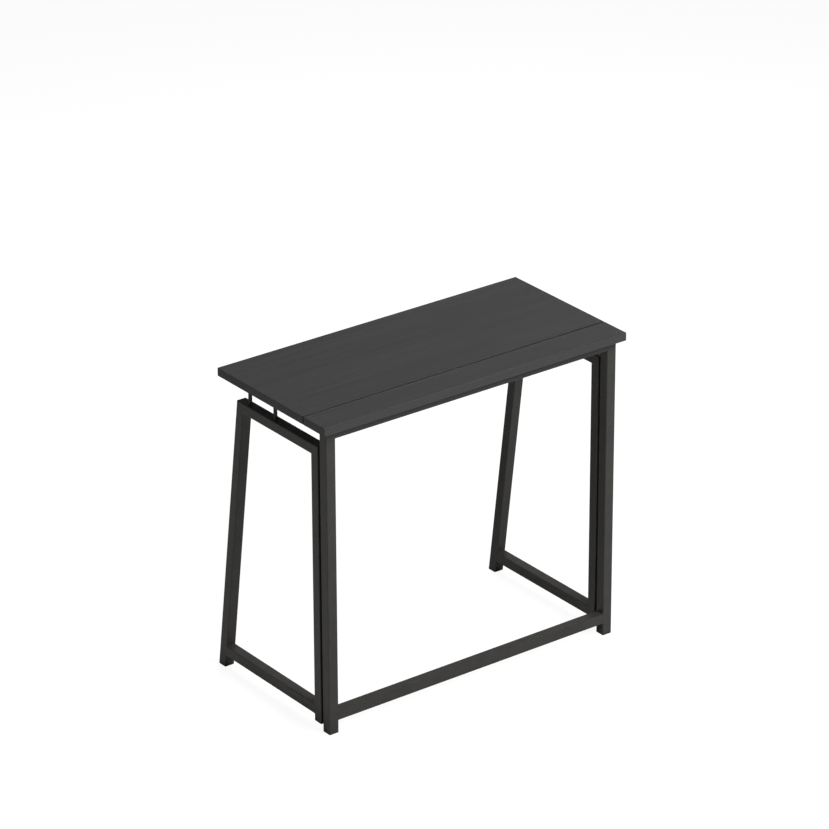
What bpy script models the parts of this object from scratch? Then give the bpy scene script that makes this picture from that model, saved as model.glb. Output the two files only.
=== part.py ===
"""Folding desk: a two-plank top on a rear frame, with two side frames that fold in against it.

Metres, +Z up. The person at the desk sits on the -Y side and looks along +Y, so left is -X and
right is +X. The origin is on the floor, under the middle of the desk's outer box.
"""
import math
from typing import NamedTuple

import bmesh
import bpy
from mathutils import Matrix, Vector

# Fits
SEAT_GAP = 0.0003
KNUCKLE_GAP = 0.0004
FOLD_CLEARANCE = 0.00075
HOLE_CLEARANCE = 0.0006

# Top
DESK_HEIGHT = 0.727
TOP_WIDTH = 0.800
TOP_THICKNESS = 0.019
REAR_PLANK_DEPTH = 0.074
FRONT_PLANK_DEPTH = 0.308
SEAM_WIDTH = 0.002
PLANK_EDGE_RADIUS = 0.001

# Square tube of the frames
TUBE_SIZE = 0.024
TUBE_WALL = 0.0012
TUBE_CORNER_RADIUS = 0.002

# Rear frame
END_OVERHANG = 0.015
REAR_OVERHANG = 0.016
REAR_TOP_RAIL_HEIGHT = 0.020
BOTTOM_RAIL_LIFT = 0.029

# Side frames
SIDE_FRAME_DROP = 0.0435
HINGE_TUBE_LIFT = 0.0135
LEG_TOP_SETBACK = 0.048
FOOT_REACH = 0.043

# End caps
CAP_FLANGE = 0.002
CAP_PLUG = 0.012

# Support posts between the side frames and the front plank
POST_DIAMETER = 0.0085
POST_SETBACK = 0.081
POST_SPACING = 0.091
SPIGOT_DIAMETER = 0.005
SPIGOT_TAIL = 0.0025

# Hinges of the side frames
FRAME_HINGE_LENGTH = 0.050
FRAME_HINGE_LEAF_WIDTH = 0.017
FRAME_HINGE_LEAF = 0.0015
FRAME_HINGE_KNUCKLE = 0.005
FRAME_HINGE_PIN = 0.0025
LOWER_HINGE_HEIGHT = 0.150
UPPER_HINGE_DROP = 0.115

# Hinges under the seam
SEAM_HINGE_LENGTH = 0.050
SEAM_HINGE_LEAF_WIDTH = 0.024
SEAM_HINGE_LEAF = 0.0015
SEAM_HINGE_KNUCKLE = 0.006
SEAM_HINGE_PIN = 0.003
SEAM_HINGE_INSET = 0.120
KNUCKLES = 3

# Screws through the rear top rail into the rear plank
SCREW_COUNT = 4
SCREW_INSET = 0.051
SCREW_DIAMETER = 0.0045
SCREW_HEAD_DIAMETER = 0.009
SCREW_HEAD_HEIGHT = 0.003
SCREW_BITE = 0.012

# Facets of round shapes, and how far a cutting shape runs past what it cuts
CORNER_STEPS = 3
ROUND_STEPS = 24
BEVEL_SEGMENTS = 2
SHARP_ANGLE = math.radians(40)
CUT_OVERRUN = 0.005
WELD_DISTANCE = 0.000001

# Places that follow from the driving dimensions
X_AXIS = Vector((1, 0, 0))
Y_AXIS = Vector((0, 1, 0))
Z_AXIS = Vector((0, 0, 1))
SIDES = {"left": -1, "right": 1}
TOP_DEPTH = REAR_PLANK_DEPTH + SEAM_WIDTH + FRONT_PLANK_DEPTH
REAR_EDGE = (TOP_DEPTH + FOOT_REACH) / 2
FRONT_EDGE = REAR_EDGE - TOP_DEPTH
FOOT_FRONT = FRONT_EDGE - FOOT_REACH
SEAM_Y = REAR_EDGE - REAR_PLANK_DEPTH - SEAM_WIDTH / 2
TOP_UNDERSIDE = DESK_HEIGHT - TOP_THICKNESS
FRAME_OUTER = TOP_WIDTH / 2 - END_OVERHANG
FRAME_MIDDLE = FRAME_OUTER - TUBE_SIZE / 2
FRAME_INNER = FRAME_OUTER - TUBE_SIZE
REAR_LEG_Y = REAR_EDGE - REAR_OVERHANG - TUBE_SIZE / 2
FOLD_GAP = FRAME_HINGE_KNUCKLE + 2 * FOLD_CLEARANCE
FOLD_X = FRAME_INNER + FRAME_HINGE_KNUCKLE / 2
FOLD_Y = REAR_LEG_Y - TUBE_SIZE / 2 - FOLD_GAP / 2
HINGE_TUBE_REAR = FOLD_Y - FOLD_GAP / 2
HINGE_TUBE_FRONT = HINGE_TUBE_REAR - TUBE_SIZE
HINGE_TUBE_Y = HINGE_TUBE_REAR - TUBE_SIZE / 2
SIDE_TOP = TOP_UNDERSIDE - SIDE_FRAME_DROP
LEG_TOP_FRONT = FRONT_EDGE + LEG_TOP_SETBACK
BOTTOM_RAIL_Z = BOTTOM_RAIL_LIFT + TUBE_SIZE / 2
SEAM_AXIS_Z = TOP_UNDERSIDE - SEAT_GAP - SEAM_HINGE_KNUCKLE / 2
PLUG_SIZE = TUBE_SIZE - 2 * (TUBE_WALL + SEAT_GAP)


class Finish(NamedTuple):
    """Colour in linear RGB, roughness and metallic value of a surface."""

    colour: tuple
    roughness: float
    metallic: float


class Hinge(NamedTuple):
    """Sizes of one kind of butt hinge, with its pin along local Z.

    leaf_face is how far a leaf's seating face lies from the pin's axis.
    """

    length: float
    leaf_width: float
    leaf: float
    knuckle: float
    pin: float
    leaf_face: float


class Cut(NamedTuple):
    """A plane that ends a tube: what lies on the side of its normal is cut away."""

    point: Vector
    normal: Vector


POWDER_COAT = Finish((0.030, 0.029, 0.028), 0.55, 0.0)
LAMINATE = Finish((0.035, 0.035, 0.036), 0.42, 0.0)
PLASTIC = Finish((0.012, 0.012, 0.012), 0.60, 0.0)
ZINC = Finish((0.46, 0.46, 0.45), 0.35, 1.0)

FRAME_HINGE = Hinge(FRAME_HINGE_LENGTH, FRAME_HINGE_LEAF_WIDTH, FRAME_HINGE_LEAF,
                    FRAME_HINGE_KNUCKLE, FRAME_HINGE_PIN, FOLD_GAP / 2 - SEAT_GAP)
SEAM_HINGE = Hinge(SEAM_HINGE_LENGTH, SEAM_HINGE_LEAF_WIDTH, SEAM_HINGE_LEAF,
                   SEAM_HINGE_KNUCKLE, SEAM_HINGE_PIN, SEAM_HINGE_KNUCKLE / 2)
FIXED_KNUCKLES = range(0, KNUCKLES, 2)
MOVING_KNUCKLES = range(1, KNUCKLES, 2)


# Scene, collections and placing

def clear_scene():
    """Remove every object of the open scene."""
    for item in list(bpy.data.objects):
        bpy.data.objects.remove(item, do_unlink=True)


def link_to(collection_name, item):
    """Link an object to a collection, which is made at its first use."""
    collection = bpy.data.collections.get(collection_name)
    if collection is None:
        collection = bpy.data.collections.new(collection_name)
        bpy.context.scene.collection.children.link(collection)
    collection.objects.link(item)


def placement(origin, side, axis):
    """Return the matrix whose local X runs along side and local Z along axis."""
    basis = Matrix((side, axis.cross(side), axis)).transposed().to_4x4()
    return Matrix.Translation(origin) @ basis


def make_material(name, finish):
    """Return a Principled BSDF material for one piece."""
    material = bpy.data.materials.new(name)
    material.use_nodes = True
    shader = material.node_tree.nodes["Principled BSDF"]
    shader.inputs["Base Color"].default_value = (*finish.colour, 1.0)
    shader.inputs["Roughness"].default_value = finish.roughness
    shader.inputs["Metallic"].default_value = finish.metallic
    return material


def add_axis(name, location):
    """Add an empty on a joint's axis, which carries the pieces that turn about it."""
    axis = bpy.data.objects.new(name, None)
    axis.location = location
    link_to("folding_desk", axis)
    bpy.context.view_layer.update()
    return axis


def add_piece(name, mesh, matrix, finish, carrier=None):
    """Add one named piece of the desk at its place."""
    piece = bpy.data.objects.new(name, mesh)
    piece.data.materials.append(make_material(name + "_finish", finish))
    link_to("folding_desk", piece)
    piece.matrix_world = matrix
    if carrier is not None:
        piece.parent = carrier
        piece.matrix_parent_inverse = carrier.matrix_world.inverted()
    return piece


# Cutting and joining

def combine(piece, name, mesh, matrix, operation):
    """Cut a tool shape out of a piece, or join it to the piece."""
    tool = bpy.data.objects.new(name, mesh)
    link_to("cutters", tool)
    tool.matrix_world = matrix
    tool.hide_render = True
    tool.display_type = "WIRE"
    modifier = piece.modifiers.new(name, "BOOLEAN")
    modifier.operation = operation
    modifier.solver = "EXACT"
    modifier.object = tool


def drill(piece, name, diameter, matrix, low, high):
    """Drill a round hole in a piece, along the local Z of a placement."""
    combine(piece, name, cylinder(name, diameter, low, high), matrix, "DIFFERENCE")


# Basic shapes

def mesh_from(bm, name):
    """Turn a bmesh into a mesh with its faces pointing out."""
    bmesh.ops.recalc_face_normals(bm, faces=bm.faces[:])
    mesh = bpy.data.meshes.new(name)
    bm.to_mesh(mesh)
    bm.free()
    return mesh


def shade_round(mesh):
    """Shade the round faces smooth and keep the corners sharp."""
    mesh.shade_smooth()
    mesh.set_sharp_from_angle(angle=SHARP_ANGLE)


def box(name, low, high):
    """Return the mesh of a box between two corners."""
    low = Vector(low)
    high = Vector(high)
    matrix = Matrix.Translation((low + high) / 2) @ Matrix.Diagonal((*(high - low), 1))
    bm = bmesh.new()
    bmesh.ops.create_cube(bm, size=1, matrix=matrix)
    return mesh_from(bm, name)


def cylinder(name, diameter, low, high):
    """Return the mesh of a cylinder on local Z between two heights."""
    bm = bmesh.new()
    bmesh.ops.create_cone(bm, cap_ends=True, segments=ROUND_STEPS, radius1=diameter / 2,
                          radius2=diameter / 2, depth=high - low,
                          matrix=Matrix.Translation((0, 0, (low + high) / 2)))
    mesh = mesh_from(bm, name)
    shade_round(mesh)
    return mesh


def rounded_square(size_x, size_y, radius):
    """Return the points round a rectangle with round corners, anticlockwise."""
    points = []
    for quarter, (sign_x, sign_y) in enumerate(((1, 1), (-1, 1), (-1, -1), (1, -1))):
        centre_x = sign_x * (size_x / 2 - radius)
        centre_y = sign_y * (size_y / 2 - radius)
        for step in range(CORNER_STEPS + 1):
            angle = math.pi / 2 * (quarter + step / CORNER_STEPS)
            points.append((centre_x + radius * math.cos(angle), centre_y + radius * math.sin(angle)))
    return points


def extruded(name, outlines, length):
    """Return the mesh of a flat outline, with any hole in it, drawn out along local Z."""
    curve = bpy.data.curves.new(name, "CURVE")
    curve.dimensions = "2D"
    curve.fill_mode = "BOTH"
    curve.extrude = length / 2
    for outline in outlines:
        spline = curve.splines.new("POLY")
        spline.points.add(len(outline) - 1)
        for point, (x, y) in zip(spline.points, outline):
            point.co = (x, y, 0, 1)
        spline.use_cyclic_u = True
    shape = bpy.data.objects.new(name, curve)
    bpy.context.scene.collection.objects.link(shape)
    depsgraph = bpy.context.evaluated_depsgraph_get()
    mesh = bpy.data.meshes.new_from_object(shape.evaluated_get(depsgraph))
    bpy.data.objects.remove(shape)
    bm = bmesh.new()
    bm.from_mesh(mesh)
    bmesh.ops.remove_doubles(bm, verts=bm.verts[:], dist=WELD_DISTANCE)
    return mesh_from(bm, name)


def cut_stock(name, outlines, matrix, cuts):
    """Return stock with the given section along a placement's local Z, cut at its two ends."""
    sizes = [abs(value) for point in outlines[0] for value in point]
    reach = max((cut.point - matrix.translation).length for cut in cuts) + 2 * max(sizes)
    bm = bmesh.new()
    bm.from_mesh(extruded(name, outlines, 2 * reach))
    to_local = matrix.inverted()
    for cut in cuts:
        normal = to_local.to_3x3() @ cut.normal
        everything = bm.verts[:] + bm.edges[:] + bm.faces[:]
        section = bmesh.ops.bisect_plane(bm, geom=everything, dist=WELD_DISTANCE, clear_outer=True,
                                         plane_co=to_local @ cut.point, plane_no=normal)
        rim = [item for item in section["geom_cut"] if isinstance(item, bmesh.types.BMEdge)]
        bmesh.ops.triangle_fill(bm, edges=rim, use_beauty=True, normal=normal)
    mesh = mesh_from(bm, name)
    shade_round(mesh)
    return mesh


# Pieces

def add_tube(name, matrix, cuts, carrier=None, height=TUBE_SIZE):
    """Add a hollow tube along a placement's local Z, with its ends cut at two planes."""
    bore_radius = max(TUBE_CORNER_RADIUS - TUBE_WALL, SEAT_GAP)
    outlines = [rounded_square(TUBE_SIZE, height, TUBE_CORNER_RADIUS),
                rounded_square(TUBE_SIZE - 2 * TUBE_WALL, height - 2 * TUBE_WALL, bore_radius)]
    return add_piece(name, cut_stock(name, outlines, matrix, cuts), matrix, POWDER_COAT, carrier)


def add_cap(name, matrix, floor, carrier=None):
    """Add the plastic cap of a tube's lower end: a flange under it and a plug up inside it."""
    def level(height):
        """Return the point of the tube's axis at a height above the cap's underside."""
        axis = matrix.to_3x3() @ Z_AXIS
        return matrix.translation + axis * ((floor + height - matrix.translation.z) / axis.z)

    flange = cut_stock(name, [rounded_square(TUBE_SIZE, TUBE_SIZE, TUBE_CORNER_RADIUS)], matrix,
                       [Cut(level(0), -Z_AXIS), Cut(level(CAP_FLANGE), Z_AXIS)])
    piece = add_piece(name, flange, matrix, PLASTIC, carrier)
    plug_radius = max(TUBE_CORNER_RADIUS - TUBE_WALL - SEAT_GAP, SEAT_GAP)
    plug = cut_stock(name + "_plug", [rounded_square(PLUG_SIZE, PLUG_SIZE, plug_radius)], matrix,
                     [Cut(level(CAP_FLANGE / 2), -Z_AXIS), Cut(level(CAP_FLANGE + CAP_PLUG), Z_AXIS)])
    combine(piece, name + "_plug", plug, matrix, "UNION")


def add_turned(name, profile, matrix, finish, carrier=None):
    """Add a turned piece: a profile of radius and height, top to bottom, spun about local Z."""
    bm = bmesh.new()
    rim = [bm.verts.new((radius, 0, height)) for radius, height in profile]
    for upper, lower in zip(rim, rim[1:]):
        bm.edges.new((upper, lower))
    mesh = bpy.data.meshes.new(name)
    bm.to_mesh(mesh)
    bm.free()
    piece = add_piece(name, mesh, matrix, finish, carrier)
    spin = piece.modifiers.new("turn", "SCREW")
    spin.steps = ROUND_STEPS
    spin.render_steps = ROUND_STEPS
    spin.use_merge_vertices = True
    spin.merge_threshold = WELD_DISTANCE
    spin.use_smooth_shade = True


def add_plank(name, front, rear, carrier=None):
    """Add one plank of the top, with its edges eased."""
    middle = Vector((0, (front + rear) / 2, TOP_UNDERSIDE + TOP_THICKNESS / 2))
    half = Vector((TOP_WIDTH, rear - front, TOP_THICKNESS)) / 2
    piece = add_piece(name, box(name, -half, half), Matrix.Translation(middle), LAMINATE, carrier)
    bevel = piece.modifiers.new("eased_edges", "BEVEL")
    bevel.width = PLANK_EDGE_RADIUS
    bevel.segments = BEVEL_SEGMENTS
    return piece


def add_leaf(name, hinge, knuckles, matrix, finish, carrier=None):
    """Add one hinge leaf: a plate along local X, and its knuckles round the pin."""
    clear = hinge.knuckle / 2 + KNUCKLE_GAP
    back = hinge.leaf_face - hinge.leaf
    plate = box(name, (clear, back, -hinge.length / 2),
                (hinge.leaf_width, hinge.leaf_face, hinge.length / 2))
    piece = add_piece(name, plate, matrix, finish, carrier)
    share = hinge.length / KNUCKLES
    for number in knuckles:
        low = -hinge.length / 2 + number * share + KNUCKLE_GAP / 2
        high = low + share - KNUCKLE_GAP
        tab_name = f"{name}_tab_{number}"
        tab = box(tab_name, (0, back, low), (clear + hinge.leaf, hinge.leaf_face, high))
        combine(piece, tab_name, tab, matrix, "UNION")
        knuckle_name = f"{name}_knuckle_{number}"
        knuckle = cylinder(knuckle_name, hinge.knuckle, low, high)
        combine(piece, knuckle_name, knuckle, matrix, "UNION")
    reach = hinge.length / 2 + CUT_OVERRUN
    drill(piece, name + "_bore", hinge.pin + HOLE_CLEARANCE, matrix, -reach, reach)


def add_hinge(name, hinge, fixed, moving, finish, carrier):
    """Add a hinge: its fixed leaf, its moving leaf and its pin.

    fixed and moving give each leaf's name and placement.
    """
    fixed_name, fixed_matrix = fixed
    moving_name, moving_matrix = moving
    add_leaf(f"{name}_{fixed_name}", hinge, FIXED_KNUCKLES, fixed_matrix, finish)
    add_leaf(f"{name}_{moving_name}", hinge, MOVING_KNUCKLES, moving_matrix, finish, carrier)
    pin = cylinder(name + "_pin", hinge.pin, -hinge.length / 2, hinge.length / 2)
    add_piece(name + "_pin", pin, fixed_matrix, ZINC)


def add_post(name, seat, rail, carrier):
    """Add a support post, whose spigot goes down through the rail's upper wall."""
    height = SIDE_FRAME_DROP - SEAT_GAP
    tail = -TUBE_WALL - SPIGOT_TAIL
    profile = [(0, height), (POST_DIAMETER / 2, height), (POST_DIAMETER / 2, SEAT_GAP),
               (SPIGOT_DIAMETER / 2, SEAT_GAP), (SPIGOT_DIAMETER / 2, tail), (0, tail)]
    matrix = Matrix.Translation(seat)
    add_turned(name, profile, matrix, POWDER_COAT, carrier)
    drill(rail, name + "_hole", SPIGOT_DIAMETER + HOLE_CLEARANCE, matrix,
          -TUBE_WALL - CUT_OVERRUN, CUT_OVERRUN)


# Sub-assemblies

def build_rear_frame():
    """Build the rear frame: two legs with caps, a rail under the top and a rail near the floor."""
    leg_ends = [Cut(Z_AXIS * (CAP_FLANGE + SEAT_GAP), -Z_AXIS),
                Cut(Z_AXIS * (TOP_UNDERSIDE - SEAT_GAP), Z_AXIS)]
    for side, sign in SIDES.items():
        leg = placement(Vector((sign * FRAME_MIDDLE, REAR_LEG_Y, 0)), X_AXIS, Z_AXIS)
        add_tube(f"rear_leg_{side}", leg, leg_ends)
        add_cap(f"rear_leg_cap_{side}", leg, 0)
    rail_end = X_AXIS * (FRAME_INNER - SEAT_GAP)
    rail_ends = [Cut(rail_end, X_AXIS), Cut(-rail_end, -X_AXIS)]
    top_z = TOP_UNDERSIDE - SEAT_GAP - REAR_TOP_RAIL_HEIGHT / 2
    top = placement(Vector((0, REAR_LEG_Y, top_z)), Y_AXIS, X_AXIS)
    bottom = placement(Vector((0, REAR_LEG_Y, BOTTOM_RAIL_Z)), Y_AXIS, X_AXIS)
    add_tube("rear_bottom_rail", bottom, rail_ends)
    return add_tube("rear_top_rail", top, rail_ends, height=REAR_TOP_RAIL_HEIGHT)


def build_side_frame(side, sign, carrier):
    """Build one side frame: hinge tube, top rail, slanted leg, bottom rail, caps and posts."""
    x = sign * FRAME_MIDDLE
    slant = Vector((0, LEG_TOP_FRONT - FOOT_FRONT, SIDE_TOP)).normalized()
    rearward = slant.cross(X_AXIS)
    foot = Vector((x, FOOT_FRONT, 0)) + rearward * TUBE_SIZE / 2
    rear_corner = Vector((x, HINGE_TUBE_REAR, SIDE_TOP))
    rear_mitre = (Y_AXIS - Z_AXIS).normalized()
    front_corner = Vector((x, LEG_TOP_FRONT, SIDE_TOP))
    front_mitre = (Y_AXIS + slant).normalized()
    half_gap = SEAT_GAP / 2

    upright = placement(Vector((x, HINGE_TUBE_Y, 0)), X_AXIS, Z_AXIS)
    upright_end = Vector((x, HINGE_TUBE_Y, HINGE_TUBE_LIFT + CAP_FLANGE + SEAT_GAP))
    add_tube(f"hinge_tube_{side}", upright,
             [Cut(upright_end, -Z_AXIS), Cut(rear_corner + rear_mitre * half_gap, -rear_mitre)], carrier)
    add_cap(f"hinge_tube_cap_{side}", upright, HINGE_TUBE_LIFT, carrier)

    top = placement(Vector((x, HINGE_TUBE_Y, SIDE_TOP - TUBE_SIZE / 2)), X_AXIS, Y_AXIS)
    top_rail = add_tube(f"side_top_rail_{side}", top,
                        [Cut(rear_corner - rear_mitre * half_gap, rear_mitre),
                         Cut(front_corner + front_mitre * half_gap, -front_mitre)], carrier)

    leg = placement(foot, X_AXIS, slant)
    leg_end = Vector((x, FOOT_FRONT, CAP_FLANGE + SEAT_GAP))
    add_tube(f"slanted_leg_{side}", leg,
             [Cut(leg_end, -Z_AXIS), Cut(front_corner - front_mitre * half_gap, front_mitre)], carrier)
    add_cap(f"slanted_leg_cap_{side}", leg, 0, carrier)

    bottom = placement(Vector((x, HINGE_TUBE_Y, BOTTOM_RAIL_Z)), X_AXIS, Y_AXIS)
    leg_rear_face = foot + rearward * (TUBE_SIZE / 2 + SEAT_GAP)
    upright_front_face = Vector((x, HINGE_TUBE_FRONT - SEAT_GAP, BOTTOM_RAIL_Z))
    add_tube(f"side_bottom_rail_{side}", bottom,
             [Cut(upright_front_face, Y_AXIS), Cut(leg_rear_face, -rearward)], carrier)

    post_y = FRONT_EDGE + POST_SETBACK
    for place, y in (("front", post_y), ("rear", post_y + POST_SPACING)):
        add_post(f"support_post_{side}_{place}", Vector((x, y, SIDE_TOP)), top_rail, carrier)


def build_frame_hinges(side, sign, carrier):
    """Build the two hinges in the gap between a rear leg and its side frame."""
    outward = X_AXIS * sign
    pin_axis = outward.cross(Y_AXIS)
    for level, height in (("lower", LOWER_HINGE_HEIGHT), ("upper", SIDE_TOP - UPPER_HINGE_DROP)):
        pin_point = Vector((sign * FOLD_X, FOLD_Y, height))
        add_hinge(f"frame_hinge_{side}_{level}", FRAME_HINGE,
                  ("leg_leaf", placement(pin_point, outward, pin_axis)),
                  ("tube_leaf", placement(pin_point, outward, -pin_axis)), POWDER_COAT, carrier)


def build_seam_hinges(carrier):
    """Build the three hinges under the seam between the planks."""
    spread = TOP_WIDTH / 2 - SEAM_HINGE_INSET
    for place, x in (("left", -spread), ("middle", 0), ("right", spread)):
        pin_point = Vector((x, SEAM_Y, SEAM_AXIS_Z))
        add_hinge(f"seam_hinge_{place}", SEAM_HINGE,
                  ("rear_leaf", placement(pin_point, Y_AXIS, X_AXIS)),
                  ("front_leaf", placement(pin_point, -Y_AXIS, -X_AXIS)), ZINC, carrier)


def build_top(carrier):
    """Build the two planks: the rear one is fixed, the front one turns on the seam hinges."""
    add_plank("front_plank", FRONT_EDGE, FRONT_EDGE + FRONT_PLANK_DEPTH, carrier)
    return add_plank("rear_plank", REAR_EDGE - REAR_PLANK_DEPTH, REAR_EDGE)


def build_screws(rail, plank):
    """Build the screws that hold the rear plank down on the rear top rail."""
    seat = -2 * SEAT_GAP - REAR_TOP_RAIL_HEIGHT
    head = SCREW_HEAD_DIAMETER / 2
    shank = SCREW_DIAMETER / 2
    hole = SCREW_DIAMETER + HOLE_CLEARANCE
    profile = [(0, SCREW_BITE), (shank, SCREW_BITE), (shank, seat), (head, seat),
               (head, seat - SCREW_HEAD_HEIGHT), (0, seat - SCREW_HEAD_HEIGHT)]
    first = SCREW_INSET - FRAME_INNER
    spacing = -2 * first / (SCREW_COUNT - 1)
    for number in range(SCREW_COUNT):
        name = f"plank_screw_{number + 1}"
        matrix = Matrix.Translation((first + number * spacing, REAR_LEG_Y, TOP_UNDERSIDE))
        add_turned(name, profile, matrix, ZINC)
        drill(plank, name + "_plank_hole", hole, matrix, -CUT_OVERRUN, SCREW_BITE + SEAT_GAP)
        drill(rail, name + "_rail_hole", hole, matrix, seat - CUT_OVERRUN, CUT_OVERRUN)


def main():
    """Build the whole desk, open and standing."""
    clear_scene()
    rear_top_rail = build_rear_frame()
    for side, sign in SIDES.items():
        fold_axis = add_axis(f"{side}_fold_axis", (sign * FOLD_X, FOLD_Y, 0))
        build_side_frame(side, sign, fold_axis)
        build_frame_hinges(side, sign, fold_axis)
    lift_axis = add_axis("top_lift_axis", (0, SEAM_Y, SEAM_AXIS_Z))
    rear_plank = build_top(lift_axis)
    build_seam_hinges(lift_axis)
    build_screws(rear_top_rail, rear_plank)


main()
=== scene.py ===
"""Looks of a black folding desk: a split board top on a tube frame whose ends fold in.

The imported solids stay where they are. Tubes and hinges keep their shape and get their finishes. Boards with
edge bands, end caps, support posts, welds and screws are modelled here as new pieces. Lengths are in metres,
with +Z up. The open knee side is -Y and the left end is -X.
"""
import logging
import math
from collections.abc import Callable, Iterator
from contextlib import contextmanager
from dataclasses import dataclass, field
from enum import Enum
from functools import cache
from typing import Any

import bmesh
import bpy
from mathutils import Matrix, Vector


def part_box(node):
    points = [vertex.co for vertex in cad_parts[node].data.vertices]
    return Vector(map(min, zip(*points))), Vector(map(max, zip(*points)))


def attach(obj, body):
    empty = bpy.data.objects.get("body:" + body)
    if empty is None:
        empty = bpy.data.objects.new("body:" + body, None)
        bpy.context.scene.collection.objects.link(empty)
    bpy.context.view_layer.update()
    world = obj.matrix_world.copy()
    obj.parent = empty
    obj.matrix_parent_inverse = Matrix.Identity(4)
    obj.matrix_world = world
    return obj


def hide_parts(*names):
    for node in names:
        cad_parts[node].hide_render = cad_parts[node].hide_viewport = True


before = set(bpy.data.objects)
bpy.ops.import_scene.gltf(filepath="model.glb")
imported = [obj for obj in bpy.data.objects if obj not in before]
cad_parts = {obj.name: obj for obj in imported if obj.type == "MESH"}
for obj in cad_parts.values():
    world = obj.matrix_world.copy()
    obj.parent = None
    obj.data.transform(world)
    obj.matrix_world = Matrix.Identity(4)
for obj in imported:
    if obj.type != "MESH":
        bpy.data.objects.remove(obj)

LOG = logging.getLogger("folding_desk")
MM = 0.001
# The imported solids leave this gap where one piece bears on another.
SEAT_GAP = 0.3 * MM
TUBE_CORNER = 2.0 * MM
CORNER_STEPS = 4
# Places closer than this count as the same.
TOUCH = 0.02 * MM
SMOOTH_ANGLE = math.radians(35)
# A face looks along a direction when its normal's share along it is more than this.
FACING = 0.9
# This share also takes in the roundings beside such a face.
TURNED = 0.1
UP = Vector((0, 0, 1))
REARWARD = Vector((0, 1, 0))
RIGHTWARD = Vector((1, 0, 0))


class Body(Enum):
    """The bodies that move against each other."""

    REAR_FRAME = "rear_frame"
    FRONT_TOP = "front_top"
    LEFT_FRAME = "left_side_frame"
    RIGHT_FRAME = "right_side_frame"


class Slot(Enum):
    """The material slots."""

    TOP = "top"
    FRAME = "frame"
    CAP = "cap"
    HARDWARE = "hardware"


class Side(Enum):
    """The two ends of the desk."""

    LEFT = "left"
    RIGHT = "right"

    @property
    def sign(self) -> int:
        """Return -1 at the left end and 1 at the right end."""
        return -1 if self is Side.LEFT else 1

    @property
    def body(self) -> Body:
        """Return the body of the side frame at this end."""
        return Body.LEFT_FRAME if self is Side.LEFT else Body.RIGHT_FRAME


class Axis(Enum):
    """A direction along the desk, with the turn that lays a rod from upright along it."""

    X = (0.0, math.pi / 2, 0.0)
    Y = (math.pi / 2, 0.0, 0.0)
    Z = (0.0, 0.0, 0.0)

    @property
    def index(self) -> int:
        """Return the axis's place in a vector."""
        return "XYZ".index(self.name)


# Colours, nodes and materials

def linear(hex_colour: str) -> tuple[float, float, float, float]:
    """Turn an sRGB hex colour into linear red, green, blue and alpha.

    Args:
        hex_colour: a colour such as "#1c1b1a".

    Returns:
        The four linear values.
    """
    parts = (int(hex_colour[start:start + 2], 16) / 255 for start in (1, 3, 5))
    red, green, blue = (part / 12.92 if part <= 0.04045 else ((part + 0.055) / 1.055) ** 2.4
                        for part in parts)
    return red, green, blue, 1.0


def add_node(tree: bpy.types.NodeTree, kind: str, settings: dict[str, Any] | None = None,
             links: dict[str | int, bpy.types.NodeSocket] | None = None) -> bpy.types.Node:
    """Add a shader node with its settings and the links that feed it.

    Args:
        tree: the node tree that gets the node.
        kind: the node's type name.
        settings: values by the name of an input socket or a property.
        links: output sockets by the name or number of the input that each one feeds.

    Returns:
        The new node.
    """
    return set_node(tree, tree.nodes.new(kind), settings, links)


def set_node(tree: bpy.types.NodeTree, node: bpy.types.Node, settings: dict[str, Any] | None = None,
             links: dict[str | int, bpy.types.NodeSocket] | None = None) -> bpy.types.Node:
    """Give a node its settings and the links that feed it.

    Args:
        tree: the node tree that holds the node.
        node: the node.
        settings: values by the name of an input socket or a property.
        links: output sockets by the name or number of the input that each one feeds.

    Returns:
        The node.
    """
    for name, value in (settings or {}).items():
        if name in node.inputs:
            node.inputs[name].default_value = value
        else:
            setattr(node, name, value)
    for name, source in (links or {}).items():
        tree.links.new(source, node.inputs[name])
    return node


def new_material(name: str) -> tuple[bpy.types.Material, bpy.types.NodeTree, bpy.types.Node]:
    """Start a material.

    Args:
        name: the material's name.

    Returns:
        The material, its node tree and its Principled shader.
    """
    material = bpy.data.materials.new(name)
    material.use_nodes = True
    return material, material.node_tree, material.node_tree.nodes["Principled BSDF"]


def tint(ramp: bpy.types.Node, dark: str, light: str, low: float = 0.35, high: float = 0.65) -> None:
    """Set a colour ramp between two hex colours.

    Args:
        ramp: the colour ramp node.
        dark: colour at the low end.
        light: colour at the high end.
        low: pattern value that gives the dark colour.
        high: pattern value that gives the light colour.
    """
    first, last = ramp.color_ramp.elements
    first.position = low
    first.color = linear(dark)
    last.position = high
    last.color = linear(light)


@dataclass(frozen=True)
class Pattern:
    """A cloudy pattern, by the real size of its grains."""

    width_mm: float
    detail: float
    length_mm: float | None = None
    distortion: float = 0.0

    def value(self, tree: bpy.types.NodeTree) -> bpy.types.NodeSocket:
        """Add the pattern's nodes to a material.

        Args:
            tree: the material's node tree.

        Returns:
            The socket that gives the pattern's value.
        """
        place = add_node(tree, "ShaderNodeTexCoord").outputs["Object"]
        sizes = (self.length_mm or self.width_mm, self.width_mm, self.width_mm)
        spread = add_node(tree, "ShaderNodeMapping", {"Scale": tuple(1 / (size * MM) for size in sizes)},
                          {"Vector": place})
        noise = add_node(tree, "ShaderNodeTexNoise",
                         {"Scale": 1.0, "Detail": self.detail, "Distortion": self.distortion},
                         {"Vector": spread.outputs["Vector"]})
        return noise.outputs["Fac"]


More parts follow.
